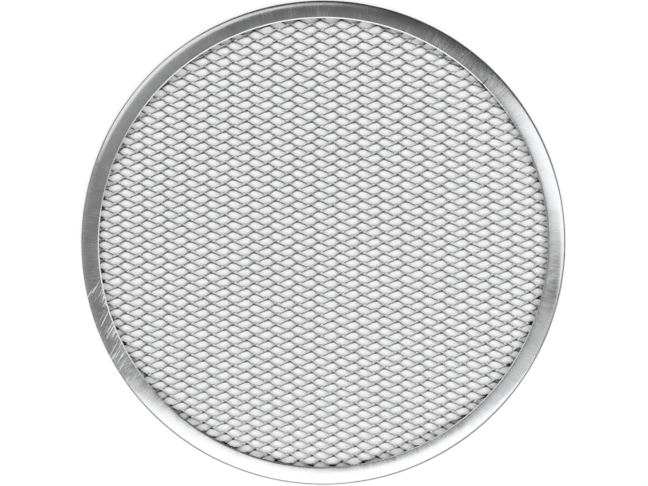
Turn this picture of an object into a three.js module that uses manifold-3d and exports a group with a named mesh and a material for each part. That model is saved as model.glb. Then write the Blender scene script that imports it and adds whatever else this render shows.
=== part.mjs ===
// Pizza screen: a disc of raised expanded aluminium held in a folded aluminium rim.
// Millimetres, +Z up. The origin is on the surface that the rim rests on, under the centre of the disc.

import * as THREE from 'three';
import { mergeVertices } from 'three/addons/utils/BufferGeometryUtils.js';
import Module from 'manifold-3d';

// Rim: one strip of sheet, folded round the edge of the mesh with an open side facing inwards
const outerDiameter = 280;
const rimSheet = 0.8;
const upperFlangeWidth = 10.25;
const lowerFlangeWidth = 10.4;
const lowerRollDepth = 3;
const crestInset = 0.95;
const lipDrop = 0.45;

// Seam: the slit between the two ends of the rim strip, which closes before it reaches the roll
const seamAzimuth = 44.8;
const seamLength = 3.6;
const seamWidth = 0.5;
const seamTipWidth = 0.25;

// Mesh: a slit and stretched sheet, whose strands stand on edge and lean back towards +Y. Its openings
// are drawn at about 1.6 times the pitch of the real ones, 12.5 by 6.0, to keep the facets few.
const meshPitchLong = 20.4;
const meshPitchShort = 9.9;
const meshSheet = 1.2;
const strandWidth = 1.35;
const strandLean = 58;
const bondLength = 4.4;

// Grip: how far the mesh reaches in under the upper flange, and its clearance to the rim
const gripDepth = 5.1;
const gripClearance = 0.3;

// Facets
const facetsAround = 80;
const lowerRollSteps = 3;
const upperRollSteps = 5;
const lipSteps = 2;

// Sizes that follow from those above
const outerRadius = outerDiameter / 2;
const innerRadius = outerRadius - upperFlangeWidth;
const halfSheet = rimSheet / 2;
const lean = THREE.MathUtils.degToRad(strandLean);
const meshHeight = 2 * strandWidth * Math.sin(lean) + meshSheet * Math.cos(lean);
const meshRadius = innerRadius + gripDepth;
const meshBottom = rimSheet + gripClearance;
const meshMiddle = meshBottom + meshHeight / 2;
const meshTop = meshBottom + meshHeight;
const lipMiddle = meshTop + gripClearance + halfSheet;
const crestMiddle = lipMiddle + lipDrop;
const rimHeight = crestMiddle + halfSheet;

const satinAluminium = new THREE.MeshStandardMaterial({ color: 0xc9cacb, roughness: 0.38, metalness: 1 });
const mattAluminium = new THREE.MeshStandardMaterial({ color: 0x9fa1a3, roughness: 0.5, metalness: 1 });

const wasm = await Module();
wasm.setup();

// A closed geometry as a solid that can be cut.
function solidOf(geometry) {
  const bare = geometry.clone();
  bare.deleteAttribute('normal');
  bare.deleteAttribute('uv');
  const merged = mergeVertices(bare, 1e-4);
  return new wasm.Manifold(
    new wasm.Mesh({
      numProp: 3,
      vertProperties: new Float32Array(merged.attributes.position.array),
      triVerts: new Uint32Array(merged.index.array),
    }),
  );
}

// A solid as a geometry with flat faces.
function geometryOf(solid) {
  const mesh = solid.getMesh();
  const geometry = new THREE.BufferGeometry();
  geometry.setAttribute('position', new THREE.BufferAttribute(new Float32Array(mesh.vertProperties), 3));
  geometry.setIndex(new THREE.BufferAttribute(new Uint32Array(mesh.triVerts), 1));
  geometry.computeVertexNormals();
  return geometry;
}

// The middle line of the rim's sheet, as (radius, height). It runs out along the flat lower flange and up
// round the lower roll to the widest point, then back over a long quarter ellipse to the crest of the upper
// flange, which therefore falls outwards, and down over the lip that grips the mesh.
function foldLine() {
  const widest = outerRadius - halfSheet;
  const crestRadius = innerRadius + crestInset;
  const waist = (halfSheet + crestMiddle) / 2;
  const lowerFlangeEnd = outerRadius - lowerRollDepth;
  const quarter = Math.PI / 2;
  const lowerFlange = new THREE.LineCurve(
    new THREE.Vector2(outerRadius - lowerFlangeWidth, halfSheet),
    new THREE.Vector2(lowerFlangeEnd, halfSheet),
  );
  const lowerRoll = new THREE.EllipseCurve(
    lowerFlangeEnd,
    waist,
    widest - lowerFlangeEnd,
    waist - halfSheet,
    -quarter,
    0,
  );
  const upperRoll = new THREE.EllipseCurve(
    crestRadius,
    waist,
    widest - crestRadius,
    crestMiddle - waist,
    0,
    quarter,
  );
  const lip = new THREE.QuadraticBezierCurve(
    new THREE.Vector2(crestRadius, crestMiddle),
    new THREE.Vector2((crestRadius + innerRadius + halfSheet) / 2, crestMiddle),
    new THREE.Vector2(innerRadius + halfSheet, lipMiddle),
  );
  const stretches = [
    [lowerFlange, 1],
    [lowerRoll, lowerRollSteps],
    [upperRoll, upperRollSteps],
    [lip, lipSteps],
  ];
  return stretches.flatMap(([curve, steps], index) => {
    const first = index === 0 ? 0 : 1;
    return Array.from({ length: steps + 1 - first }, (_, i) => {
      const along = (i + first) / steps;
      return { point: curve.getPoint(along), tangent: curve.getTangent(along) };
    });
  });
}

// The rim: the sheet's thickness set off to both sides of the fold line, and the strip turned round +Z.
function rimGeometry() {
  const line = foldLine();
  const offset = (side) => ({ point, tangent }) =>
    new THREE.Vector2(point.x + side * tangent.y * halfSheet, point.y - side * tangent.x * halfSheet);
  const outside = line.map(offset(1));
  const inside = line.map(offset(-1)).reverse();
  const profile = [...outside, ...inside, outside[0].clone()];
  const ring = new THREE.LatheGeometry(profile, facetsAround);
  ring.rotateX(Math.PI / 2);
  return geometryOf(solidOf(ring).subtract(solidOf(seamCut())));
}

// The tapered slit of the seam, through the upper flange only.
function seamCut() {
  const mouth = innerRadius - seamWidth;
  const tip = innerRadius + seamLength;
  const outline = new THREE.Shape();
  outline.moveTo(mouth, -seamWidth / 2);
  outline.lineTo(tip, -seamTipWidth / 2);
  outline.lineTo(tip, seamTipWidth / 2);
  outline.lineTo(mouth, seamWidth / 2);
  outline.closePath();
  const cut = new THREE.ExtrudeGeometry(outline, { depth: rimHeight, bevelEnabled: false });
  cut.translate(0, 0, meshMiddle);
  cut.rotateZ(THREE.MathUtils.degToRad(seamAzimuth));
  return cut;
}

// The six corners of a bond, the place where four strands meet: a leaning plate whose high edge is
// to the north (+Y) and whose low edge is to the south, pointed at the slit ends to the east and west.
function bondCorners(x, y) {
  const reach = new THREE.Vector3(0, Math.cos(lean), Math.sin(lean)).multiplyScalar(strandWidth);
  const face = new THREE.Vector3(0, -Math.sin(lean), Math.cos(lean)).multiplyScalar(meshSheet / 2);
  const end = new THREE.Vector3(bondLength / 2, 0, 0);
  const centre = new THREE.Vector3(x, y, meshMiddle);
  return [
    centre.clone().add(reach).add(face),
    centre.clone().add(reach).sub(face),
    centre.clone().sub(reach).add(face),
    centre.clone().sub(reach).sub(face),
    centre.clone().add(end),
    centre.clone().sub(end),
  ];
}

// The whole stretched sheet, a little larger than the disc that is cut from it. Bonds stand in a
// staggered grid. Each strand runs from the high half of one bond to the low half of the next bond to
// its north-east or north-west, and a corner of a bond with no strand is closed by one triangle.
function stretchedSheet() {
  const bonds = new Map();
  const positions = [];
  const triangles = [];
  const columns = Math.ceil((2 * meshRadius) / meshPitchLong) + 1;
  const rows = Math.ceil((2 * meshRadius) / meshPitchShort) + 1;
  const placeOf = (column, row) => [(column * meshPitchLong) / 2, (row * meshPitchShort) / 2];
  const isInside = (column, row) => Math.hypot(...placeOf(column, row)) < meshRadius;

  const bondAt = (column, row) => {
    const key = `${column} ${row}`;
    if (!bonds.has(key)) {
      const first = positions.length / 3;
      bondCorners(...placeOf(column, row)).forEach((corner) => positions.push(...corner));
      const [nf, nb, sf, sb, e, w] = Array.from({ length: 6 }, (_, i) => first + i);
      bonds.set(key, { nf, nb, sf, sb, e, w, taken: new Set() });
      triangles.push([nf, w, sf], [nf, sf, e], [nb, sb, w], [nb, e, sb]);
    }
    return bonds.get(key);
  };

  const strandNorthEast = (a, b) => {
    triangles.push([a.nf, a.e, b.sf], [a.nf, b.sf, b.w], [a.nb, b.sb, a.e], [a.nb, b.w, b.sb]);
    triangles.push([a.nf, b.w, a.nb], [a.e, b.sb, b.sf]);
    a.taken.add('northEast');
    b.taken.add('southWest');
  };

  const strandNorthWest = (a, b) => {
    triangles.push([a.nf, b.sf, a.w], [a.nf, b.e, b.sf], [a.nb, a.w, b.sb], [a.nb, b.sb, b.e]);
    triangles.push([a.nf, a.nb, b.e], [a.w, b.sf, b.sb]);
    a.taken.add('northWest');
    b.taken.add('southEast');
  };

  for (let row = -rows; row <= rows; row += 1) {
    for (let column = -columns; column <= columns; column += 1) {
      if ((row + column) % 2 !== 0) continue;
      if (isInside(column, row) || isInside(column + 1, row + 1)) {
        strandNorthEast(bondAt(column, row), bondAt(column + 1, row + 1));
      }
      if (isInside(column, row) || isInside(column - 1, row + 1)) {
        strandNorthWest(bondAt(column, row), bondAt(column - 1, row + 1));
      }
    }
  }

  for (const { nf, nb, sf, sb, e, w, taken } of bonds.values()) {
    if (!taken.has('northEast')) triangles.push([nf, e, nb]);
    if (!taken.has('northWest')) triangles.push([nf, nb, w]);
    if (!taken.has('southWest')) triangles.push([sf, w, sb]);
    if (!taken.has('southEast')) triangles.push([sf, sb, e]);
  }

  const geometry = new THREE.BufferGeometry();
  geometry.setAttribute('position', new THREE.Float32BufferAttribute(positions, 3));
  geometry.setIndex(triangles.flat());
  return geometry;
}

// The mesh: the round blank that is punched out of the stretched sheet.
function meshGeometry() {
  const punch = new THREE.CylinderGeometry(meshRadius, meshRadius, 2 * rimHeight, facetsAround);
  punch.rotateX(Math.PI / 2);
  punch.translate(0, 0, meshMiddle);
  return geometryOf(solidOf(stretchedSheet()).intersect(solidOf(punch)));
}

function named(name, geometry, material) {
  const mesh = new THREE.Mesh(geometry, material);
  mesh.name = name;
  return mesh;
}

const pizzaScreen = new THREE.Group();
pizzaScreen.add(named('rim', rimGeometry(), satinAluminium));
pizzaScreen.add(named('expanded_mesh', meshGeometry(), mattAluminium));

export default pizzaScreen;
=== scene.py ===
"""Pizza screen: a disc of raised expanded aluminium in a folded aluminium rim, on a white studio floor.

The file is laid out as an add-on. Run as a script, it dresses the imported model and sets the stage.
"""

import bpy
import numpy as np
from bpy.props import FloatProperty, FloatVectorProperty, IntProperty, PointerProperty
from bpy.types import Operator, Panel, PropertyGroup
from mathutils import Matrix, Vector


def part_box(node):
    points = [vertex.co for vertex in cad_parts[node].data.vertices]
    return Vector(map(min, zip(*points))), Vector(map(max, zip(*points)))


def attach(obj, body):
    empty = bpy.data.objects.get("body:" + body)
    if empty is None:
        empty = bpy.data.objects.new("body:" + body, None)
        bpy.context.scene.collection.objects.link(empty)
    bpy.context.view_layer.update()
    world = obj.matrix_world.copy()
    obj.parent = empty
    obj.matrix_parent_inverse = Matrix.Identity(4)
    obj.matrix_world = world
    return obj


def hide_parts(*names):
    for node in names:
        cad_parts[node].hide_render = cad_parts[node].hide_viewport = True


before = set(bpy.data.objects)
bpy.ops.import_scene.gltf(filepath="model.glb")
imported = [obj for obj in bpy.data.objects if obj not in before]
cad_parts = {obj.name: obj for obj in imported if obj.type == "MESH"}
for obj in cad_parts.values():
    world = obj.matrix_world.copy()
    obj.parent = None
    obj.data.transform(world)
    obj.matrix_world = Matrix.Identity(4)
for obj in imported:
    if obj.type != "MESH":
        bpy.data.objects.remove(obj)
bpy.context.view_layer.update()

bl_info = {
    "name": "Pizza Screen",
    "version": (1, 0, 0),
    "blender": (4, 5, 0),
    "location": "View3D > Sidebar > Pizza screen",
    "description": "Builds a pizza screen of expanded aluminium in a folded rim, with its stage",
    "category": "Add Mesh",
}

MM = 0.001
BODY = "root"

RIM_LOW, RIM_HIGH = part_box("rim")
MESH_LOW, MESH_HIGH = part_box("expanded_mesh")

# The photograph's frame, and the circle that the rim's outline fills in it
IMAGE_SIZE = (648, 486)
OUTLINE_CENTRE_PX = (323.35, 242.53)
OUTLINE_RADIUS_PX = 242.4

# Softboxes: the corners of each, as azimuth and angle from straight up in degrees, seen from the rim there
PANEL_HEIGHT = 1.0
KEY_PANEL = (
    (216, 62), (223, 13), (234, 5), (240, 1), (262, 1), (268, 6), (276, 10),
    (290, 12), (308, 14), (316, 28), (325, 45), (334, 60), (270, 64),
)
SIDE_PANEL = ((17, 2), (40, 10), (39, 30), (36, 52), (10, 62), (-16, 54), (-8, 41), (2, 30), (4, 10))
RIGHT_WALL = ((306, 8), (318, 4), (338, 7), (341, 28), (342, 45), (338, 55), (326, 45), (317, 28))
LEFT_WALL = ((122, 5), (122, 30), (140, 32), (160, 30), (160, 5))
BACK_PANEL = (
    (86, 37), (105, 35), (122, 34), (140, 34), (158, 36),
    (158, 58), (140, 66), (122, 62), (105, 48), (86, 45),
)

# Rounding of a cut edge of the strip: the turns of its steps in degrees
CUT_EDGE_TURNS = (-60.0, -20.0, 20.0, 60.0)


class RimSizes(PropertyGroup):
    """Sizes and colours of the folded rim."""

    outer_radius: FloatProperty(
        name="Outer radius",
        description="From the axis to the widest point of the roll",
        default=RIM_HIGH[0],
        unit="LENGTH",
    )
    height: FloatProperty(
        name="Height",
        description="From the resting face to the crest of the upper flange",
        default=RIM_HIGH[2] - RIM_LOW[2],
        unit="LENGTH",
    )
    sheet: FloatProperty(
        name="Sheet",
        description="Thickness of the rim's strip",
        default=0.8 * MM,
        unit="LENGTH",
    )
    flange_width: FloatProperty(
        name="Upper flange",
        description="From the outer edge in to the lip of the upper flange",
        default=10.75 * MM,
        unit="LENGTH",
    )
    lower_flange_width: FloatProperty(
        name="Lower flange",
        description="From the outer edge in to the edge of the lower flange",
        default=9.3 * MM,
        unit="LENGTH",
    )
    lower_flange_tongue: FloatProperty(
        name="Lower flange tongue",
        description="How much wider the lower flange gets beside the seam",
        default=1.9 * MM,
        unit="LENGTH",
    )
    lower_roll_depth: FloatProperty(
        name="Lower roll",
        description="Radial depth of the roll below its widest point",
        default=3.0 * MM,
        unit="LENGTH",
    )
    flange_fall: FloatProperty(
        name="Flange fall",
        description="Steepness of the upper flange: the height of its ellipse over its length",
        default=0.275,
        subtype="FACTOR",
    )
    edge_radius: FloatProperty(
        name="Edge radius",
        description="Radius at which the strip turns over at the outer edge, along its middle",
        default=0.12 * MM,
        unit="LENGTH",
    )
    crest_inset: FloatProperty(
        name="Crest inset",
        description="From the lip to the crest of the upper flange",
        default=1.0 * MM,
        unit="LENGTH",
    )
    lip_drop: FloatProperty(
        name="Lip drop",
        description="How far the lip turns down from the crest",
        default=0.27 * MM,
        unit="LENGTH",
    )
    seam_azimuth: FloatProperty(
        name="Seam azimuth",
        description="Where the two ends of the strip meet",
        default=np.radians(44.8),
        subtype="ANGLE",
    )
    seam_length: FloatProperty(
        name="Seam length",
        description="How far the seam gapes, from the lip outwards",
        default=4.4 * MM,
        unit="LENGTH",
    )
    seam_width: FloatProperty(
        name="Seam width",
        description="Width of the gape at the lip",
        default=0.7 * MM,
        unit="LENGTH",
    )
    seam_tip_width: FloatProperty(
        name="Seam tip width",
        description="Width of the gape at its outer end",
        default=0.45 * MM,
        unit="LENGTH",
    )
    burr: FloatProperty(
        name="Burr",
        description="Width of the bright edge of the lip, where the strip was sheared",
        default=0.5 * MM,
        unit="LENGTH",
    )
    burnish: FloatProperty(
        name="Burnish",
        description="Width of the smoother band that the rolling left at the outer edge",
        default=1.2 * MM,
        unit="LENGTH",
    )
    waviness: FloatProperty(
        name="Waviness",
        description="Height of the gentle waves that the folding left in the flange",
        default=0.02 * MM,
        unit="LENGTH",
    )
    colour: FloatVectorProperty(
        name="Colour",
        description="Colour of the satin aluminium",
        default=(0.86, 0.865, 0.875),
        subtype="COLOR",
        min=0.0,
        max=1.0,
    )
    columns: IntProperty(
        name="Columns",
        description="Steps round the rim",
        default=540,
    )


class MeshSizes(PropertyGroup):
    """Sizes and colours of the expanded mesh."""

    radius: FloatProperty(
        name="Radius",
        description="Where the strands end, inside the rim's fold",
        default=MESH_HIGH[0],
        unit="LENGTH",
    )
    middle: FloatProperty(
        name="Middle height",
        description="Height of the mesh's middle above the resting face",
        default=(MESH_LOW[2] + MESH_HIGH[2]) / 2,
        unit="LENGTH",
    )
    pitch_long: FloatProperty(
        name="Long pitch",
        description="From bond to bond along a row",
        default=12.49 * MM,
        unit="LENGTH",
    )
    pitch_short: FloatProperty(
        name="Short pitch",
        description="From bond to bond across the rows",
        default=6.038 * MM,
        unit="LENGTH",
    )
    sheet: FloatProperty(
        name="Sheet",
        description="Thickness of the sheet that was slit",
        default=0.74 * MM,
        unit="LENGTH",
    )
    strand_width: FloatProperty(
        name="Strand width",
        description="Width of a strand, from slit to slit",
        default=1.25 * MM,
        unit="LENGTH",
    )
    lean_seat: FloatProperty(
        name="Seat lean",
        description="How steeply the upper half of a bond stands, where a strand is lowest",
        default=np.radians(22),
        subtype="ANGLE",
    )
    lean_strand: FloatProperty(
        name="Strand lean",
        description="How steeply a strand stands between its bonds",
        default=np.radians(90),
        subtype="ANGLE",
    )
    lean_brow: FloatProperty(
        name="Brow lean",
        description="How steeply the lower half of a bond stands, where a strand is highest",
        default=np.radians(74),
        subtype="ANGLE",
    )
    brow_peak: FloatProperty(
        name="Brow peak",
        description="How far the fold between brow and seat is drawn up into a point",
        default=0.72 * MM,
        unit="LENGTH",
    )
    brow_start: FloatProperty(
        name="Brow start",
        description="How far up a strand begins to lean out, as a share of its climb",
        default=0.24,
        subtype="FACTOR",
    )
    seat_even: FloatVectorProperty(
        name="Seat of even rows",
        description="Length of a seat on its longer and its shorter side, as a share of a strand's run",
        default=(0.36, 0.19),
        size=2,
    )
    seat_odd: FloatVectorProperty(
        name="Seat of odd rows",
        description="Length of a seat on its longer and its shorter side, as a share of a strand's run",
        default=(0.28, 0.16),
        size=2,
    )
    twist: FloatProperty(
        name="Twist",
        description="Part of a strand's run over which it turns from seat to edge",
        default=0.045,
        subtype="FACTOR",
    )
    skew: FloatProperty(
        name="Skew",
        description="How far each row of strands is dragged sideways, in turn to the right and to the left",
        default=1.0 * MM,
        unit="LENGTH",
    )
    pull: FloatProperty(
        name="Pull",
        description="How far all rows of strands are dragged to the left",
        default=0.2 * MM,
        unit="LENGTH",
    )
    pairing: FloatProperty(
        name="Pairing",
        description="How far every second row of bonds lies above its even place",
        default=0.11 * MM,
        unit="LENGTH",
    )
    stagger: FloatProperty(
        name="Stagger",
        description="How far every second row of bonds lies to the right of its even place",
        default=2.18 * MM,
        unit="LENGTH",
    )
    bond_flat: FloatProperty(
        name="Bond flat",
        description="Level part of a bond, as a share of a strand's run",
        default=0.01,
        subtype="FACTOR",
    )
    bond_blend: FloatProperty(
        name="Bond blend",
        description="Curved part of a strand beside a bond, as a share of its run",
        default=0.05,
        subtype="FACTOR",
    )
    bond_x: FloatProperty(
        name="Bond X",
        description="How far right of the centre the bond lies from which the grid is counted",
        default=9.69 * MM,
        unit="LENGTH",
    )
    bond_y: FloatProperty(
        name="Bond Y",
        description="How far above the centre the bond lies from which the grid is counted",
        default=-0.16 * MM,
        unit="LENGTH",
    )
    row_fall: FloatProperty(
        name="Row fall",
        description="How far the rows fall from the centre to the right-hand edge",
        default=1.337 * MM,
        unit="LENGTH",
    )
    stretch_right: FloatProperty(
        name="Stretch to the right",
        description="Extra stretch of the sheet at the right-hand edge",
        default=1.724 * MM,
        unit="LENGTH",
    )
    stretch_up: FloatProperty(
        name="Stretch upwards",
        description="Extra stretch of the sheet at the upper edge",
        default=1.364 * MM,
        unit="LENGTH",
    )
    column_bow: FloatProperty(
        name="Column bow",
        description="How far the columns bow to the right at the upper and lower edges",
        default=0.788 * MM,
        unit="LENGTH",
    )
    edge_spread: FloatProperty(
        name="Edge spread",
        description="Extra spread of the openings all round the edge",
        default=0.95 * MM,
        unit="LENGTH",
    )
    jitter: FloatProperty(
        name="Jitter",
        description="Spread of the bonds about their even places",
        default=0.05 * MM,
        unit="LENGTH",
    )
    colour: FloatVectorProperty(
        name="Colour",
        description="Colour of the mill-finish aluminium",
        default=(0.61, 0.615, 0.625),
        subtype="COLOR",
        min=0.0,
        max=1.0,
    )


class StageSizes(PropertyGroup):
    """Floor, lights and camera."""

    camera_height: FloatProperty(
        name="Camera height",
        description="Height of the camera over the floor",
        default=1.6,
        unit="LENGTH",
    )
    key_level: FloatProperty(
        name="Key light",
        description="How bright the large panel in front is, where 1 looks white in a mirror",
        default=1.35,
        subtype="FACTOR",
    )
    side_level: FloatProperty(
        name="Side panel",
        description="How bright the panel at the right is, where 1 looks white in a mirror",
        default=1.3,
        subtype="FACTOR",
    )
    right_level: FloatProperty(
        name="Right wall",
        description="How bright the wall at the front right is, where 1 looks white in a mirror",
        default=0.68,
        subtype="FACTOR",
    )
    left_level: FloatProperty(
        name="Left wall",
        description="How bright the wall at the back left is, where 1 looks white in a mirror",
        default=0.36,
        subtype="FACTOR",
    )
    back_level: FloatProperty(
        name="Back panel",
        description="How bright the panel at the back is, where 1 looks white in a mirror",
        default=1.05,
        subtype="FACTOR",
    )
    fill_level: FloatProperty(
        name="Fill light",
        description="How bright the overhead panel is that lights the floor and isn't mirrored in metal",
        default=1.76,
        subtype="FACTOR",
    )
    floor_colour: FloatVectorProperty(
        name="Floor",
        description="Colour of the floor",
        default=(0.93, 0.93, 0.93),
        subtype="COLOR",
        min=0.0,
        max=1.0,
    )
    floor_glow: FloatProperty(
        name="Floor glow",
        description="Share of plain white in what is seen of the floor outside the rim",
        default=0.6,
        subtype="FACTOR",
    )


def solid_object(name, points, quads, material, smooth):
    """A mesh object from an array of points and an array of four-sided faces."""
    mesh = bpy.data.meshes.new(name)
    mesh.vertices.add(len(points))
    mesh.vertices.foreach_set("co", np.ascontiguousarray(points, dtype=np.float32).ravel())
    mesh.loops.add(quads.size)
    mesh.loops.foreach_set("vertex_index", np.ascontiguousarray(quads, dtype=np.int32).ravel())
    mesh.polygons.add(len(quads))
    mesh.polygons.foreach_set("loop_start", np.arange(0, quads.size, 4, dtype=np.int32))
    mesh.polygons.foreach_set("use_smooth", np.full(len(quads), smooth, dtype=bool))
    mesh.update(calc_edges=True)
    if mesh.validate():
        raise RuntimeError(f"{name} has faces that Blender had to repair")
    mesh.materials.append(material)
    piece = bpy.data.objects.new(name, mesh)
    bpy.context.scene.collection.objects.link(piece)
    return piece


def fold_line(rim, inner_radius):
    """The middle line of the rim's strip as (radius, height), without the straight lower flange.

    A quarter ellipse climbs from the lower flange to the widest point, and a tight arc turns the edge over.
    From there the upper flange runs back to its crest on the flat part of a longer ellipse, and a parabola
    turns it down into the straight lip.
    """
    half = rim.sheet / 2
    widest = rim.outer_radius - half
    crest_radius = inner_radius + rim.crest_inset
    crest = rim.height - half
    waist = (half + crest) / 2
    flange_end = rim.outer_radius - rim.lower_roll_depth
    low = np.linspace(-np.pi / 2, 0, 10)
    lower_roll = np.stack(
        [flange_end + (widest - flange_end) * np.cos(low), waist + (waist - half) * np.sin(low)], -1
    )
    reach_share = 0.958
    end_tilt = np.arctan(rim.flange_fall * reach_share / np.sqrt(1 - reach_share**2))
    end_radius = widest - rim.edge_radius * (1 - np.sin(end_tilt))
    long_axis = (end_radius - crest_radius) / reach_share
    sweep = np.linspace(np.arcsin(reach_share), 0, 30)
    flange_drop = rim.flange_fall * long_axis * (1 - np.cos(sweep))
    upper_flange = np.stack([crest_radius + long_axis * np.sin(sweep), crest - flange_drop], -1)
    turn = np.linspace(np.pi / 2, end_tilt, 6)[:-1]
    arc = rim.edge_radius * np.stack([np.sin(turn) - np.sin(end_tilt), np.cos(turn) - np.cos(end_tilt)], -1)
    along = np.linspace(0, 1, 13)[1:]
    bend = 0.4
    fall = np.where(along < bend, along**2 / (2 * bend), along - bend / 2) / (1 - bend / 2)
    lip = np.stack([crest_radius - (rim.crest_inset - half) * along, crest - rim.lip_drop * fall], -1)
    return np.concatenate([lower_roll, upper_flange[0] + arc, upper_flange, lip])


def strip_outline(line, half):
    """The closed outline of a strip: the middle line set off to both sides, with rounded cut edges."""
    tangent = np.gradient(line, axis=0)
    tangent /= np.linalg.norm(tangent, axis=1, keepdims=True)
    normal = np.stack([tangent[:, 1], -tangent[:, 0]], -1)
    turn = np.radians(CUT_EDGE_TURNS)[:, None]
    round_off = 0.5 * half
    end_cap = line[-1] + half * np.sin(-turn) * normal[-1] + round_off * np.cos(turn) * tangent[-1]
    start_cap = line[0] + half * np.sin(turn) * normal[0] - round_off * np.cos(turn) * tangent[0]
    outside = line + half * normal
    inside = (line - half * normal)[::-1]
    return np.concatenate([outside, end_cap, inside, start_cap])


def rim_surface(rim):
    """Points, faces, surface coordinates and marks of the rim: burr, burnish, and painted shade inside the
    seam.

    The outline of the folded strip is carried round the axis from one end of the strip to the other. The
    ends meet at the seam, where the gap between them widens in a straight line from its tip to the lip,
    and closes in a smooth step at the tip. Sums of seeded sine waves move the upper flange up and down a
    little, and the edge of the lower flange swells inwards beside the seam as a bell curve of the azimuth.
    """
    half = rim.sheet / 2
    inner_radius = rim.outer_radius - rim.flange_width
    fold = fold_line(rim, inner_radius)
    flange_steps = 6
    across = np.linspace(1, 0, flange_steps, endpoint=False)[:, None]
    flange_end = fold[0]
    flange_start = np.array([rim.outer_radius - rim.lower_flange_width, half])
    line = np.concatenate([flange_end + across * (flange_start - flange_end), fold])
    outline = strip_outline(line, half)
    rows = len(outline)

    turn = np.linspace(0, 2 * np.pi, rim.columns + 1)
    radius = np.broadcast_to(outline[:, 0], (rim.columns + 1, rows)).copy()
    height = np.broadcast_to(outline[:, 1], (rim.columns + 1, rows)).copy()
    azimuth = rim.seam_azimuth + np.broadcast_to(turn[:, None], radius.shape).copy()

    from_seam = np.minimum(turn, 2 * np.pi - turn)[:, None]
    tongue_reach = np.radians(24.0)
    tongue = rim.lower_flange_tongue * np.exp(-((from_seam / tongue_reach) ** 2))
    on_lower = (outline[:, 1] < rim.height / 2) & (outline[:, 0] < flange_end[0])
    inwards = np.clip((flange_end[0] - outline[:, 0]) / (flange_end[0] - flange_start[0]), 0, 1)
    radius -= tongue * (inwards * on_lower)

    waves = seeded_waves(azimuth, rim.waviness)
    rise = np.clip((outline[:, 1] - rim.height / 2) / (rim.height / 2), 0, 1)
    height += waves * rise

    outwards = (outline[:, 0] - inner_radius) / rim.seam_length
    gape = rim.seam_width + (rim.seam_tip_width - rim.seam_width) * np.clip(outwards, 0, 1)
    closing_start, closing_end = 0.85, 1.05
    closing = smooth_step(outwards, closing_start, closing_end)
    gape = gape * (1 - closing) * (outline[:, 1] > rim.height / 2)
    closed_gap = 0.01 * MM
    half_gap = closed_gap + gape / 2
    end_reach = 2 * np.pi / rim.columns
    shift = half_gap / outline[:, 0]
    azimuth += shift * np.clip(1 - turn / end_reach, 0, 1)[:, None]
    azimuth -= shift * np.clip(1 - (2 * np.pi - turn) / end_reach, 0, 1)[:, None]

    points = np.stack([radius * np.cos(azimuth), radius * np.sin(azimuth), height], -1)
    index = np.arange(points[..., 0].size).reshape(radius.shape)
    here, after = index[:-1], index[1:]
    walls = np.stack([here, after, np.roll(after, -1, 1), np.roll(here, -1, 1)], -1).reshape(-1, 4)
    step = np.linalg.norm(np.diff(outline, axis=0, append=outline[:1]), axis=1)
    reach = np.concatenate([[0.0], np.cumsum(step)])
    u = turn * rim.outer_radius
    corner_u = np.stack(np.broadcast_arrays(u[:-1, None], u[1:, None], u[1:, None], u[:-1, None]), -1)
    corner_u = np.broadcast_to(corner_u, (rim.columns, rows, 4))
    low, high = reach[:-1], reach[1:]
    corner_v = np.broadcast_to(np.stack([low, low, high, high], -1), (rim.columns, rows, 4))
    uv = np.stack([corner_u, corner_v], -1).reshape(-1, 2)
    caps = np.concatenate([end_quads(index[0]), end_quads(index[-1])[:, ::-1]])
    cap_uv = np.zeros((caps.size, 2))
    from_lip = np.linalg.norm(outline - line[-1], axis=1)
    burr = np.broadcast_to(np.clip(2 * (1 - from_lip / rim.burr), 0, 1), radius.shape).ravel()
    from_edge = (rim.outer_radius - outline[:, 0]) / rim.burnish
    burnish = np.broadcast_to(smooth_step(1 - from_edge, 0.0, 0.5), radius.shape).ravel()
    place = np.arange(rows)
    is_inner = (place > len(line)) & (place < rows - len(CUT_EDGE_TURNS))
    # Painted shade: the strip's inner faces darken within 3 mm of the seam, where the gap between its ends
    # lies in shade.
    seam_shade_reach = 3 * MM
    painted_seam_shade = (smooth_step(1 - from_seam * inner_radius / seam_shade_reach, 0.0, 0.5) * is_inner).ravel()
    quads = np.concatenate([walls, caps])
    marks = {"burr": burr, "burnish": burnish, "painted_seam_shade": painted_seam_shade}
    return points.reshape(-1, 3), quads, np.concatenate([uv, cap_uv]), marks


def end_quads(ring):
    """Four-sided faces across the cut end of a strip, whose ring of points folds back on itself."""
    count = len(ring) // 2
    near = ring[:count]
    far = ring[::-1][:count]
    return np.stack([near[:-1], near[1:], far[1:], far[:-1]], -1)


def seeded_waves(azimuth, height):
    """Waves along the rim: sines of the azimuth with seeded phases, added up, the long ones higher."""
    rng = np.random.default_rng(11)
    counts = np.array([5, 9, 14, 23, 37, 61, 97, 140])
    phases = rng.uniform(0, 2 * np.pi, len(counts))
    sizes = height * np.sqrt(counts[0] / counts)
    return sum(size * np.sin(count * azimuth + phase) for size, count, phase in zip(sizes, counts, phases))


def strand_rise(run, flat, blend):
    """How far a strand has climbed, from 0 at one bond to 1 at the next.

    It is level over the bond, curves up as a parabola, runs straight, and curves back to level.
    """
    def climb(x):
        x = np.maximum(x, 0)
        return np.where(x < blend, x * x / (2 * blend), x - blend / 2)

    return (climb(run - flat) - climb(run - (1 - flat - blend))) / (1 - 2 * flat - blend)


def sheet_plan(mesh, column, row):
    """Plan position of a point of the bonds' grid.

    The grid is even but for small terms of second and third degree: the sheet was stretched more to the
    right and upwards, its rows fall to the right, and its columns bow.
    """
    reach = mesh.radius
    a = column * mesh.pitch_long / reach
    b = row * mesh.pitch_short / reach
    spread = mesh.edge_spread * (a * a + b * b)
    x = mesh.bond_x + a * reach + mesh.stretch_right * a * a + mesh.column_bow * b * b + spread * a
    y = mesh.bond_y + b * reach - mesh.row_fall * a
    y = y + mesh.stretch_right * a * b + mesh.stretch_up * b * b + spread * b
    return x, y


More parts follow.
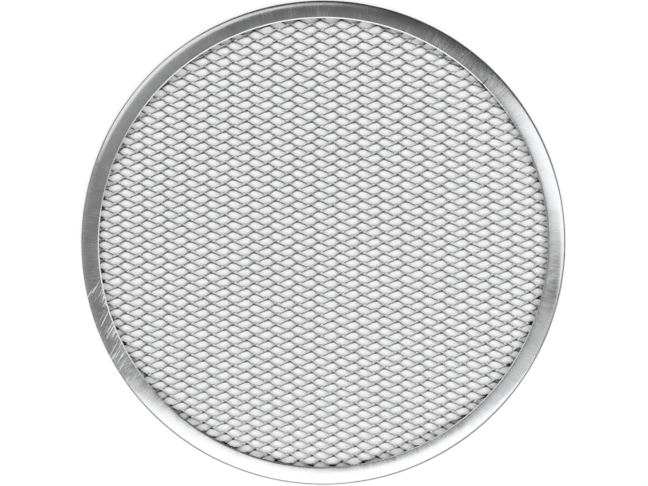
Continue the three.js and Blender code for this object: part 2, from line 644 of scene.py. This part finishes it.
def smooth_step(value, start, end):
    """0 before the start, 1 after the end, and a smooth cubic between."""
    share = np.clip((value - start) / (end - start), 0, 1)
    return share * share * (3 - 2 * share)


def mesh_surface(mesh):
    """Points, faces, sheared-edge marks and climb of the expanded mesh.

    A row of strands is a ribbon along a zigzag path that climbs from one row of bonds to the next and
    back. Where the path is low, the ribbon lies back as the seat of a bond, its upper half, which is longer
    on one side. At the end of the seat it twists until it stands on edge. Where the path is high, it leans
    out as the brow of a bond, the lower half. Seat and brow of a bond meet along a fold that is drawn up
    into a point, where the corners of two neighbouring ribbons are shared and the walls between them left
    out. Ribbons end on a circle inside the rim.
    """
    flat, blend = mesh.bond_flat, mesh.bond_blend
    margin = 3
    row_reach = int(2 * mesh.radius / mesh.pitch_short) + margin
    cell_reach = int(2 * mesh.radius / mesh.pitch_long) + margin
    rows = np.arange(-row_reach, row_reach)
    cells = np.arange(-cell_reach, cell_reach)
    row = rows[:, None, None]
    cell = cells[None, :, None]
    climbs = (cell + row) % 2 == 0
    even_seat = np.where(climbs, mesh.seat_even[1], mesh.seat_even[0])
    odd_seat = np.where(climbs, mesh.seat_odd[0], mesh.seat_odd[1])
    seat = np.where(row % 2 == 0, even_seat, odd_seat)
    on_edge = seat + mesh.twist
    half_joint = 0.08
    brow_stops = (0.76, 0.84)
    stops = np.broadcast_arrays(0.0, half_joint, seat, on_edge, *brow_stops, 1 - half_joint)
    upwards = np.concatenate(stops, -1)
    downwards = np.concatenate([np.ones_like(seat), upwards[..., :0:-1]], -1)
    from_seat = np.where(climbs, upwards, downwards)
    run = np.where(climbs, from_seat, 1 - from_seat)
    share = strand_rise(run, flat, blend)
    level = np.where(climbs, share, 1 - share)

    x, y = sheet_plan(mesh, (cell + run) / 2, (row + level) / 2)
    second_row = np.where(row % 2 == 0, level, 1 - level)
    x = x + mesh.stagger * second_row
    y = y + mesh.pairing * second_row
    rng = np.random.default_rng(5)
    offsets = rng.normal(0, mesh.jitter, (len(rows) + 1, len(cells) + 1, 3))
    left_row = np.where(climbs[..., 0], 0, 1) + np.arange(len(rows))[:, None]
    right_row = np.where(climbs[..., 0], 1, 0) + np.arange(len(rows))[:, None]
    place = np.arange(len(cells))[None, :]
    left = offsets[left_row, place][:, :, None, :]
    right = offsets[right_row, place + 1][:, :, None, :]
    fold = np.stack([x, y, np.full_like(x, mesh.middle)], -1) + left + (right - left) * share[..., None]

    standing = smooth_step(from_seat, seat, on_edge)
    lean = mesh.lean_seat + (mesh.lean_strand - mesh.lean_seat) * standing
    lean_fold = (mesh.lean_seat + mesh.lean_brow) / 2
    fold_reach = 0.15
    seat_fold_reach = 0.2
    lean_upper = lean + (lean_fold - lean) * smooth_step(level, 1 - fold_reach, 1.0)
    lean_lower = lean + (lean_fold - lean) * (1 - smooth_step(level, 0.0, seat_fold_reach))
    leaning_out = np.clip((level - mesh.brow_start) / (1 - mesh.brow_start), 0, 1)
    lean = lean + (mesh.lean_brow - mesh.lean_strand) * leaning_out
    climb = level[..., None]
    sideways = np.where(row % 2 == 0, mesh.skew, -mesh.skew) - mesh.pull
    drag = sideways[..., None] * np.array([1.0, 0.0, 0.0])
    upper_edge = fold + (1 - climb) * (mesh.strand_width * along_lean(lean) + drag)
    lower_edge = fold - climb * mesh.strand_width * along_lean(lean)
    peak = mesh.brow_peak * np.array([0.0, 1.0, 0.0])
    upper_edge = upper_edge + peak * smooth_step(climb, 1 - fold_reach, 1.0)
    lower_edge = lower_edge + peak * (1 - smooth_step(climb, 0.0, fold_reach))
    hang = (1 - level) * mesh.strand_width * (np.sin(lean) - np.sin(mesh.lean_seat) * (1 - level) ** 3)
    upper_edge[..., 2] -= hang
    lower_edge[..., 2] -= hang
    upper_half = mesh.sheet / 2 * across_lean(lean_upper)
    lower_half = mesh.sheet / 2 * across_lean(lean_lower)
    upper_corners = [upper_edge + upper_half, upper_edge - upper_half]
    lower_corners = [lower_edge + lower_half, lower_edge - lower_half]
    corners = np.stack(upper_corners + lower_corners, -2)
    corners = corners.reshape(len(rows), -1, 4, 3)
    path = [values.reshape(len(rows), -1) for values in (x, y, level)]
    return joined_strands(mesh, corners, path, rows, cells, run.shape[-1])


def along_lean(lean):
    """Unit vector up a plate that leans back to the north."""
    return np.stack([np.zeros_like(lean), np.cos(lean), np.sin(lean)], -1)


def across_lean(lean):
    """Unit vector out of the upper face of a plate that leans back to the north."""
    return np.stack([np.zeros_like(lean), -np.sin(lean), np.cos(lean)], -1)


def joined_strands(mesh, corners, path, rows, cells, steps):
    """The rows of strands cut to the circle and joined at their bonds.

    The first corners of a row outside the circle are moved back along it until they lie on the circle. At
    a whole bond, the upper corners of one row become the lower corners of the row above.
    """
    x, y, level = path
    top_front, top_back, low_front, low_back = range(4)
    distance = np.hypot(x, y)
    inside = distance < mesh.radius
    inside[:, 1:-1] |= inside[:, :-2] & inside[:, 2:]

    kept = inside.copy()
    for ahead in (1, -1):
        beyond = np.roll(inside, ahead, 1) & ~inside
        last = np.roll(distance, ahead, 1)
        share = np.where(beyond, (mesh.radius - last) / np.maximum(distance - last, MM / 100), 0)
        before = np.roll(corners, ahead, 1)
        pulled = before + share[..., None, None] * (corners - before)
        corners = np.where(beyond[..., None, None], pulled, corners)
        kept |= beyond

    bond_x, bond_y = sheet_plan(mesh, cells[None, :] / 2, rows[:, None] / 2)
    is_low = (cells[None, :] + rows[:, None]) % 2 == 0
    whole = is_low & (np.hypot(bond_x, bond_y) < mesh.radius - mesh.pitch_long / 4)
    joined = np.zeros(x.shape, dtype=bool)
    for ahead in (-1, 0, 1):
        at = np.zeros((len(rows), len(cells), steps), dtype=bool)
        at[:, :, 0] = whole
        joined |= np.roll(at.reshape(x.shape), ahead, 1)

    index = np.arange(corners[..., 0].size).reshape(corners.shape[:3])
    for upper, lower in ((top_front, low_front), (top_back, low_back)):
        index[:-1, :, upper] = np.where(joined[1:], index[1:, :, lower], index[:-1, :, upper])

    run_kept = kept[:, :-1] & kept[:, 1:] & (inside[:, :-1] | inside[:, 1:])
    wall_below = joined[:, :-1] & joined[:, 1:]
    wall_above = np.zeros_like(wall_below)
    wall_above[:-1] = wall_below[1:]

    climb = np.stack([level[:, :-1], level[:, 1:], level[:, 1:], level[:, :-1]], -1)

    def faces(first, second, keep):
        here, after = index[:, :-1], index[:, 1:]
        quads = np.stack([here[..., first], after[..., first], after[..., second], here[..., second]], -1)
        return quads[keep], climb[keep]

    front = faces(low_front, top_front, run_kept)
    back = faces(top_back, low_back, run_kept)
    upper = faces(top_front, top_back, run_kept & ~wall_above)
    lower = faces(low_back, low_front, run_kept & ~wall_below)
    padded = np.pad(run_kept, ((0, 0), (1, 1)))
    first = padded[:, 1:] & ~padded[:, :-1]
    last = padded[:, :-1] & ~padded[:, 1:]
    ring = index[..., [low_front, top_front, top_back, low_back]]
    starts = ring[first], np.repeat(level[first][:, None], 4, 1)
    ends = ring[last][:, ::-1], np.repeat(level[last][:, None], 4, 1)
    quads, climb = (np.concatenate(parts) for parts in zip(front, back, upper, lower, starts, ends))
    broad = len(front[0]) + len(back[0])
    sheared = (np.arange(len(quads)) >= broad).astype(float)
    used, compact = np.unique(quads, return_inverse=True)
    return corners.reshape(-1, 3)[used], compact.reshape(quads.shape), sheared, climb.ravel()


class Nodes:
    """A short way to write a node tree: make a node, set its inputs and link others to them."""

    def __init__(self, owner):
        owner.use_nodes = True
        self.tree = owner.node_tree
        self.tree.nodes.clear()

    def add(self, kind, inputs=None, **settings):
        node = self.tree.nodes.new(kind)
        for name, value in settings.items():
            setattr(node, name, value)
        for name, value in (inputs or {}).items():
            socket = node.inputs[name]
            if isinstance(value, bpy.types.NodeSocket):
                self.tree.links.new(value, socket)
            else:
                socket.default_value = value
        return node

    def math(self, operation, first, second=0.0):
        return self.add("ShaderNodeMath", {0: first, 1: second}, operation=operation).outputs[0]

    def remap(self, value, from_low, from_high, to_low, to_high):
        spots = {
            "Value": value,
            "From Min": from_low,
            "From Max": from_high,
            "To Min": to_low,
            "To Max": to_high,
        }
        return self.add("ShaderNodeMapRange", spots).outputs["Result"]

    def noise(self, vector, scale, detail=2.0, roughness=0.5):
        spots = {"Vector": vector, "Scale": scale, "Detail": detail, "Roughness": roughness}
        return self.add("ShaderNodeTexNoise", spots).outputs["Fac"]

    def stretched(self, vector, scale):
        return self.add("ShaderNodeMapping", {"Vector": vector, "Scale": scale}).outputs["Vector"]

    def turned(self, vector, angle):
        spots = {"Vector": vector, "Rotation": (0.0, 0.0, -angle)}
        return self.add("ShaderNodeMapping", spots).outputs["Vector"]

    def mark(self, name):
        return self.add("ShaderNodeAttribute", attribute_name=name).outputs["Fac"]

    def length(self, vector):
        return self.add("ShaderNodeVectorMath", {0: vector}, operation="LENGTH").outputs["Value"]

    def shaded(self, colour, tone):
        spots = {0: tone, "A": (0.0, 0.0, 0.0, 1.0), "B": (*colour, 1.0)}
        return self.add("ShaderNodeMix", spots, data_type="RGBA").outputs["Result"]


def satin_aluminium(colour):
    """Satin aluminium of the rim: wiping marks across the strip, rolling lines along it, soft blotches, a
    patch of slanting scratches at the lower left, a matt, bright burr along the lip, a smooth outer edge,
    and painted shade inside the seam."""
    material = bpy.data.materials.new("satin_aluminium")
    n = Nodes(material)
    uv = n.add("ShaderNodeUVMap", uv_map="strip").outputs["UV"]
    where = n.add("ShaderNodeTexCoord").outputs["Object"]
    burr = n.mark("burr")
    burnish = n.mark("burnish")
    painted_seam_shade = n.mark("painted_seam_shade")

    wiping = n.noise(n.stretched(uv, (1300.0, 130.0, 1.0)), 1.0, 3.0, 0.6)
    rolling = n.noise(n.stretched(uv, (60.0, 4500.0, 1.0)), 1.0, 2.0, 0.5)
    blotches = n.noise(where, 90.0, 3.0, 0.55)

    slanting = n.turned(where, np.radians(62.0))
    scratch_lines = n.noise(n.stretched(slanting, (75.0, 1250.0, 1.0)), 1.0, 1.0, 0.4)
    scratch_sharp = n.remap(scratch_lines, 0.60, 0.68, 0.0, 1.0)
    patch_place = (-0.1215, -0.0535, 0.0)
    patch_core, patch_edge = 0.026, 0.036
    from_patch = n.add("ShaderNodeVectorMath", {0: where, 1: patch_place}, operation="SUBTRACT").outputs[0]
    patch = n.remap(n.length(from_patch), patch_core, patch_edge, 1.0, 0.0)
    scratches = n.math("MULTIPLY", scratch_sharp, patch)

    base_roughness = n.remap(wiping, 0.3, 0.7, 0.15, 0.27)
    blotched = n.math("ADD", base_roughness, n.remap(blotches, 0.35, 0.65, -0.03, 0.04))
    smoothed = n.math("MULTIPLY", blotched, n.remap(burnish, 0.0, 1.0, 1.0, 0.3))
    roughness = n.math("ADD", smoothed, n.math("MULTIPLY", scratches, 0.28))
    matt = n.math("MAXIMUM", n.math("MULTIPLY", burr, 0.2), n.math("MULTIPLY", scratches, 0.5))
    metallic = n.math("SUBTRACT", 1.0, matt)
    tone = n.math("MULTIPLY", n.remap(blotches, 0.3, 0.7, 0.93, 1.0), n.remap(wiping, 0.3, 0.7, 0.88, 1.0))
    # Painted shade: the colour inside the seam is darkened down to an eighth.
    tone = n.math("MULTIPLY", tone, n.remap(painted_seam_shade, 0.0, 1.0, 1.0, 0.12))
    relief = n.math("ADD", wiping, n.math("MULTIPLY", rolling, 0.5))
    relief = n.math("ADD", relief, n.math("MULTIPLY", scratches, 1.2))
    bump = n.add("ShaderNodeBump", {"Strength": 0.35, "Distance": 0.00004, "Height": relief})
    shader = n.add(
        "ShaderNodeBsdfPrincipled",
        {
            "Base Color": n.shaded(colour, tone),
            "Metallic": metallic,
            "Roughness": roughness,
            "Normal": bump.outputs["Normal"],
        },
    )
    n.add("ShaderNodeOutputMaterial", {"Surface": shader.outputs["BSDF"]})
    return material


def mill_aluminium(colour, lip_radius):
    """Mill-finish aluminium of the mesh: broad faces with rolling lines, edges with tearing marks where the
    sheet was sheared, painted shade on the brows of the bonds that leaves those edges bright, and painted
    shade on the strands' ends beside the rim's lip."""
    material = bpy.data.materials.new("mill_aluminium")
    n = Nodes(material)
    where = n.add("ShaderNodeTexCoord").outputs["Object"]
    sheared = n.mark("sheared_edge")
    climb = n.mark("climb")
    grain = n.noise(n.stretched(where, (250.0, 1800.0, 1800.0)), 1.0, 3.0, 0.6)
    tearing = n.noise(n.stretched(where, (3500.0, 900.0, 900.0)), 1.0, 2.0, 0.6)
    marks = n.add("ShaderNodeMix", {0: sheared, 2: grain, 3: tearing}, data_type="FLOAT").outputs[0]
    stains = n.noise(where, 45.0, 3.0, 0.6)
    roughness = n.remap(marks, 0.3, 0.7, 0.20, 0.32)
    # Painted shade: broad faces darken by up to 62% as a strand climbs to the brow of a bond; sheared edges
    # are left out.
    painted_brow_shade = n.math("MULTIPLY", n.remap(climb, 0.5, 0.9, 0.0, 0.62), n.math("SUBTRACT", 1.0, sheared))
    tone = n.math("MULTIPLY", n.remap(stains, 0.3, 0.7, 0.88, 1.0), n.math("SUBTRACT", 1.0, painted_brow_shade))
    # Painted shade under the rim's lip: the strands darken to a quarter over the last 2 mm before the lip.
    unshaded_radius = lip_radius - 2.4 * MM
    shaded_radius = lip_radius - 0.4 * MM
    painted_lip_shade = n.remap(n.length(where), unshaded_radius, shaded_radius, 1.0, 0.25)
    tone = n.math("MULTIPLY", tone, painted_lip_shade)
    bump = n.add("ShaderNodeBump", {"Strength": 0.4, "Distance": 0.00003, "Height": marks})
    shader = n.add(
        "ShaderNodeBsdfPrincipled",
        {
            "Base Color": n.shaded(colour, tone),
            "Metallic": 1.0,
            "Roughness": roughness,
            "Normal": bump.outputs["Normal"],
        },
    )
    n.add("ShaderNodeOutputMaterial", {"Surface": shader.outputs["BSDF"]})
    return material


def white_floor(colour, glow):
    """Matt white floor. Outside the rim, what the camera, metal and glass see of it is partly plain
    white, so that it looks white and still keeps the object's shadow. Metal sees the shaded floor close
    beside the rim. Far from the object the floor is all plain white."""
    material = bpy.data.materials.new("white_floor")
    material.cycles.emission_sampling = "NONE"
    n = Nodes(material)
    where = n.add("ShaderNodeTexCoord").outputs["Object"]
    distance = n.length(where)
    path = n.add("ShaderNodeLightPath").outputs
    mirrored = n.math("MAXIMUM", path["Is Glossy Ray"], path["Is Transmission Ray"])
    edge = RIM_HIGH[0]
    shaded_width = 60 * MM
    far_start, far_end = 0.4, 1.2
    far = n.remap(distance, far_start, far_end, 0.0, 1.0)
    beside = n.math("MAXIMUM", n.remap(distance, edge - 2 * MM, edge, 0.0, glow), far)
    around = n.math("MAXIMUM", n.remap(distance, edge, edge + shaded_width, 0.0, glow), far)
    in_camera = n.math("MULTIPLY", path["Is Camera Ray"], beside)
    share = n.math("MAXIMUM", in_camera, n.math("MULTIPLY", mirrored, around))
    matt = n.add("ShaderNodeBsdfDiffuse", {"Color": (*colour, 1.0)})
    plain = n.add("ShaderNodeEmission", {"Color": (1.0, 1.0, 1.0, 1.0), "Strength": 1.0})
    mixed = n.add("ShaderNodeMixShader", {0: share, 1: matt.outputs[0], 2: plain.outputs[0]})
    n.add("ShaderNodeOutputMaterial", {"Surface": mixed.outputs[0]})
    return material


class PIZZASCREEN_OT_rim(Operator):
    """Make the folded rim in place of the plain one"""

    bl_idname = "pizza_screen.rim"
    bl_label = "Make rim"

    def execute(self, context):
        rim = context.scene.pizza_rim
        points, quads, uv, marks = rim_surface(rim)
        piece = solid_object("folded_rim", points, quads, satin_aluminium(tuple(rim.colour)), True)
        layer = piece.data.uv_layers.new(name="strip")
        layer.data.foreach_set("uv", uv.astype(np.float32).ravel())
        for name, values in marks.items():
            mark = piece.data.attributes.new(name, "FLOAT", "POINT")
            mark.data.foreach_set("value", values.astype(np.float32))
        piece.data.set_sharp_from_angle(angle=np.radians(50.0))
        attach(piece, BODY)
        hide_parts("rim")
        return {"FINISHED"}


class PIZZASCREEN_OT_mesh(Operator):
    """Make the expanded mesh at its real pitch in place of the plain one"""

    bl_idname = "pizza_screen.mesh"
    bl_label = "Make expanded mesh"

    def execute(self, context):
        mesh = context.scene.pizza_mesh
        rim = context.scene.pizza_rim
        points, quads, sheared, climb = mesh_surface(mesh)
        finish = mill_aluminium(tuple(mesh.colour), rim.outer_radius - rim.flange_width)
        piece = solid_object("strand_mesh", points, quads, finish, False)
        mark = piece.data.attributes.new("sheared_edge", "FLOAT", "FACE")
        mark.data.foreach_set("value", sheared.astype(np.float32))
        mark = piece.data.attributes.new("climb", "FLOAT", "CORNER")
        mark.data.foreach_set("value", climb.astype(np.float32))
        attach(piece, BODY)
        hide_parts("expanded_mesh")
        return {"FINISHED"}


class PIZZASCREEN_OT_stage(Operator):
    """Set the floor, the lights and the camera"""

    bl_idname = "pizza_screen.stage"
    bl_label = "Set stage"

    def execute(self, context):
        stage = context.scene.pizza_stage
        make_floor(stage)
        make_world(context.scene)
        make_panel("key_panel", KEY_PANEL, stage.key_level)
        make_panel("side_panel", SIDE_PANEL, stage.side_level)
        make_panel("right_wall", RIGHT_WALL, stage.right_level)
        make_panel("left_wall", LEFT_WALL, stage.left_level)
        make_panel("back_panel", BACK_PANEL, stage.back_level)
        make_fill(stage)
        make_camera(context.scene, stage)
        context.scene.view_settings.view_transform = "Standard"
        return {"FINISHED"}


def make_floor(stage):
    """A square floor under the resting face, which turns up into a low wall far away on all four sides."""
    reach, wall = 8.0, 1.4
    square = reach * np.array([[-1, -1], [1, -1], [1, 1], [-1, 1]], dtype=float)
    clearance = 0.05 * MM
    level = RIM_LOW[2] - clearance
    heights = np.repeat([level, level + wall], 4)[:, None]
    points = np.concatenate([np.tile(square, (2, 1)), heights], -1)
    here = np.arange(4)
    after = np.roll(here, -1)
    walls = np.stack([after, here, here + 4, after + 4], -1)
    material = white_floor(tuple(stage.floor_colour), stage.floor_glow)
    floor = solid_object("floor", points, np.concatenate([here[None, :], walls]), material, False)


def make_world(scene):
    """Dim surroundings: darkest overhead, lighter to the horizon, and dark low down at the back."""
    world = bpy.data.worlds.new("studio")
    scene.world = world
    n = Nodes(world)
    direction = n.add("ShaderNodeTexCoord").outputs["Generated"]
    up = n.add("ShaderNodeSeparateXYZ", {0: direction}).outputs["Z"]
    ramp = n.add("ShaderNodeValToRGB", {"Fac": up})
    stops = ((0.0, 0.16), (0.25, 0.24), (0.45, 0.34), (0.6, 0.34), (0.85, 0.23), (1.0, 0.22))
    for (place, level), element in zip(stops, ramp_elements(ramp, len(stops))):
        element.position = place
        element.color = (level, level, level, 1.0)
    back_azimuth = np.radians(72.0)
    back = (np.cos(back_azimuth), np.sin(back_azimuth), 0.0)
    along_back = n.add("ShaderNodeVectorMath", {0: direction, 1: back}, operation="DOT_PRODUCT")
    towards_back = along_back.outputs["Value"]
    dimming = n.remap(towards_back, 0.05, 0.5, 1.0, 0.4)
    dimming = n.math("MULTIPLY", dimming, n.remap(towards_back, 0.6, 0.9, 1.0, 0.35))
    sky = n.add("ShaderNodeBackground", {"Color": ramp.outputs["Color"], "Strength": dimming})
    n.add("ShaderNodeOutputWorld", {"Surface": sky.outputs[0]})


def ramp_elements(ramp, count):
    """The stops of a colour ramp, made up to a count."""
    elements = ramp.color_ramp.elements
    while len(elements) < count:
        elements.new(1.0)
    return elements


def make_panel(name, corners, level):
    """A softbox: a flat polygon at panel height that shines and that metal mirrors."""
    azimuth, slant = np.radians(np.array(corners, dtype=float)).T
    reach = RIM_HIGH[0] + PANEL_HEIGHT * np.tan(slant)
    height = np.full(len(corners), PANEL_HEIGHT)
    points = np.stack([reach * np.cos(azimuth), reach * np.sin(azimuth), height], -1)
    mesh = bpy.data.meshes.new(name)
    mesh.from_pydata(points.tolist(), [], [range(len(corners))])
    material = bpy.data.materials.new(name)
    n = Nodes(material)
    shine = n.add("ShaderNodeEmission", {"Color": (1.0, 1.0, 1.0, 1.0), "Strength": level})
    n.add("ShaderNodeOutputMaterial", {"Surface": shine.outputs[0]})
    mesh.materials.append(material)
    panel = bpy.data.objects.new(name, mesh)
    panel.visible_camera = False
    panel.visible_shadow = False
    bpy.context.scene.collection.objects.link(panel)


def make_fill(stage):
    """A large soft lamp overhead that lights the floor and isn't mirrored in metal."""
    width = 3.2
    data = bpy.data.lights.new("fill_light", "AREA")
    data.size = width
    data.energy = stage.fill_level * np.pi * width**2
    light = bpy.data.objects.new("fill_light", data)
    light.location = (0.0, 0.0, 2.0)
    light.visible_glossy = False
    bpy.context.scene.collection.objects.link(light)


def make_camera(scene, stage):
    """A camera straight over the screen, framed so that the rim's outline fills its circle."""
    data = bpy.data.cameras.new("camera")
    width, height = IMAGE_SIZE
    metres_per_pixel = RIM_HIGH[0] / OUTLINE_RADIUS_PX
    waist = (RIM_LOW[2] + RIM_HIGH[2]) / 2
    distance = stage.camera_height - waist
    data.sensor_fit = "HORIZONTAL"
    data.sensor_width = 36.0
    data.lens = data.sensor_width * distance / (width * metres_per_pixel)
    camera = bpy.data.objects.new("camera", data)
    across = (width / 2 - OUTLINE_CENTRE_PX[0]) * metres_per_pixel
    up = (OUTLINE_CENTRE_PX[1] - height / 2) * metres_per_pixel
    camera.location = (across, up, stage.camera_height)
    scene.collection.objects.link(camera)
    scene.camera = camera


class PIZZASCREEN_PT_panel(Panel):
    """Lists the pizza screen's pieces and their sizes"""

    bl_idname = "PIZZASCREEN_PT_panel"
    bl_label = "Pizza screen"
    bl_space_type = "VIEW_3D"
    bl_region_type = "UI"
    bl_category = "Pizza screen"

    def draw(self, context):
        scene = context.scene
        for group, operator in (
            (scene.pizza_rim, PIZZASCREEN_OT_rim),
            (scene.pizza_mesh, PIZZASCREEN_OT_mesh),
            (scene.pizza_stage, PIZZASCREEN_OT_stage),
        ):
            box = self.layout.box()
            box.operator(operator.bl_idname)
            for name in group.bl_rna.properties.keys():
                if name not in {"rna_type", "name"}:
                    box.prop(group, name)


CLASSES = (
    RimSizes,
    MeshSizes,
    StageSizes,
    PIZZASCREEN_OT_rim,
    PIZZASCREEN_OT_mesh,
    PIZZASCREEN_OT_stage,
    PIZZASCREEN_PT_panel,
)


def register():
    for cls in CLASSES:
        bpy.utils.register_class(cls)
    bpy.types.Scene.pizza_rim = PointerProperty(type=RimSizes)
    bpy.types.Scene.pizza_mesh = PointerProperty(type=MeshSizes)
    bpy.types.Scene.pizza_stage = PointerProperty(type=StageSizes)


def unregister():
    del bpy.types.Scene.pizza_stage
    del bpy.types.Scene.pizza_mesh
    del bpy.types.Scene.pizza_rim
    for cls in reversed(CLASSES):
        bpy.utils.unregister_class(cls)


def main():
    register()
    bpy.ops.pizza_screen.rim()
    bpy.ops.pizza_screen.mesh()
    bpy.ops.pizza_screen.stage()


if __name__ == "__main__":
    main()
